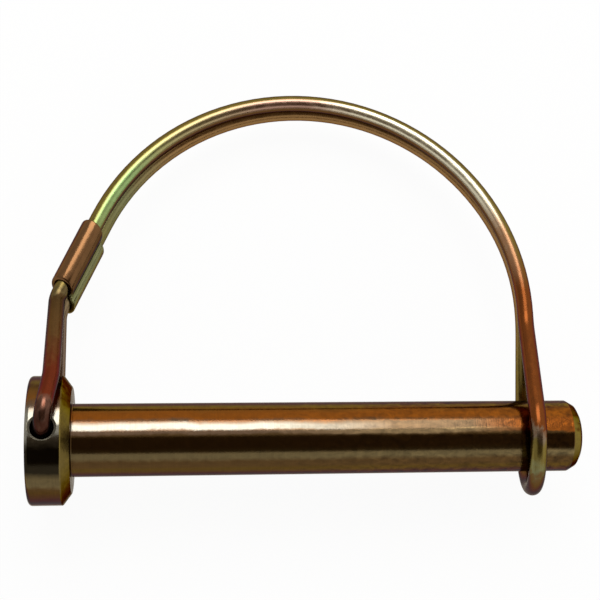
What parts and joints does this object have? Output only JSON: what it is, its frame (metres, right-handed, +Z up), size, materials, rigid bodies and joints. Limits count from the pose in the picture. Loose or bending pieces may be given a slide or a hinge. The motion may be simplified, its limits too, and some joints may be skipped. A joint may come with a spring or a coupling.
{
  "type": "wire lock pin",
  "caption": "Round headed lock pin with a doubled wire bail that pivots in the head and snaps its closed loop round the shank near the tip.",
  "frame": {"origin": "middle of the shoulder, where the flat ring under the head meets the work, on the shank's axis", "axes": "+X along the shank from head to tip, +Y towards the top of the bail's arch, +Z up as the pin lies on a table"},
  "size_m": [0.0728, 0.0576, 0.0216],
  "materials": {
    "plated_pin": "yellow chromate zinc plate, bright with green and pink tints",
    "plated_wire": "yellow chromate zinc plate on drawn spring wire",
    "plated_sleeve": "yellow chromate zinc plate on pressed sheet"
  },
  "bodies": {
    "pin": {"headed_pin": "plated_pin"},
    "bail": {"wire_bail": "plated_wire", "crimp_sleeve": "plated_sleeve"}
  },
  "joints": [
    {"name": "bail_swing", "type": "hinge", "parent": "pin", "child": "bail", "pos_m": [-0.00335, 0, 0], "axis": [0, 0.1285, 0.9917], "range_deg": [0, 250]}
  ]
}
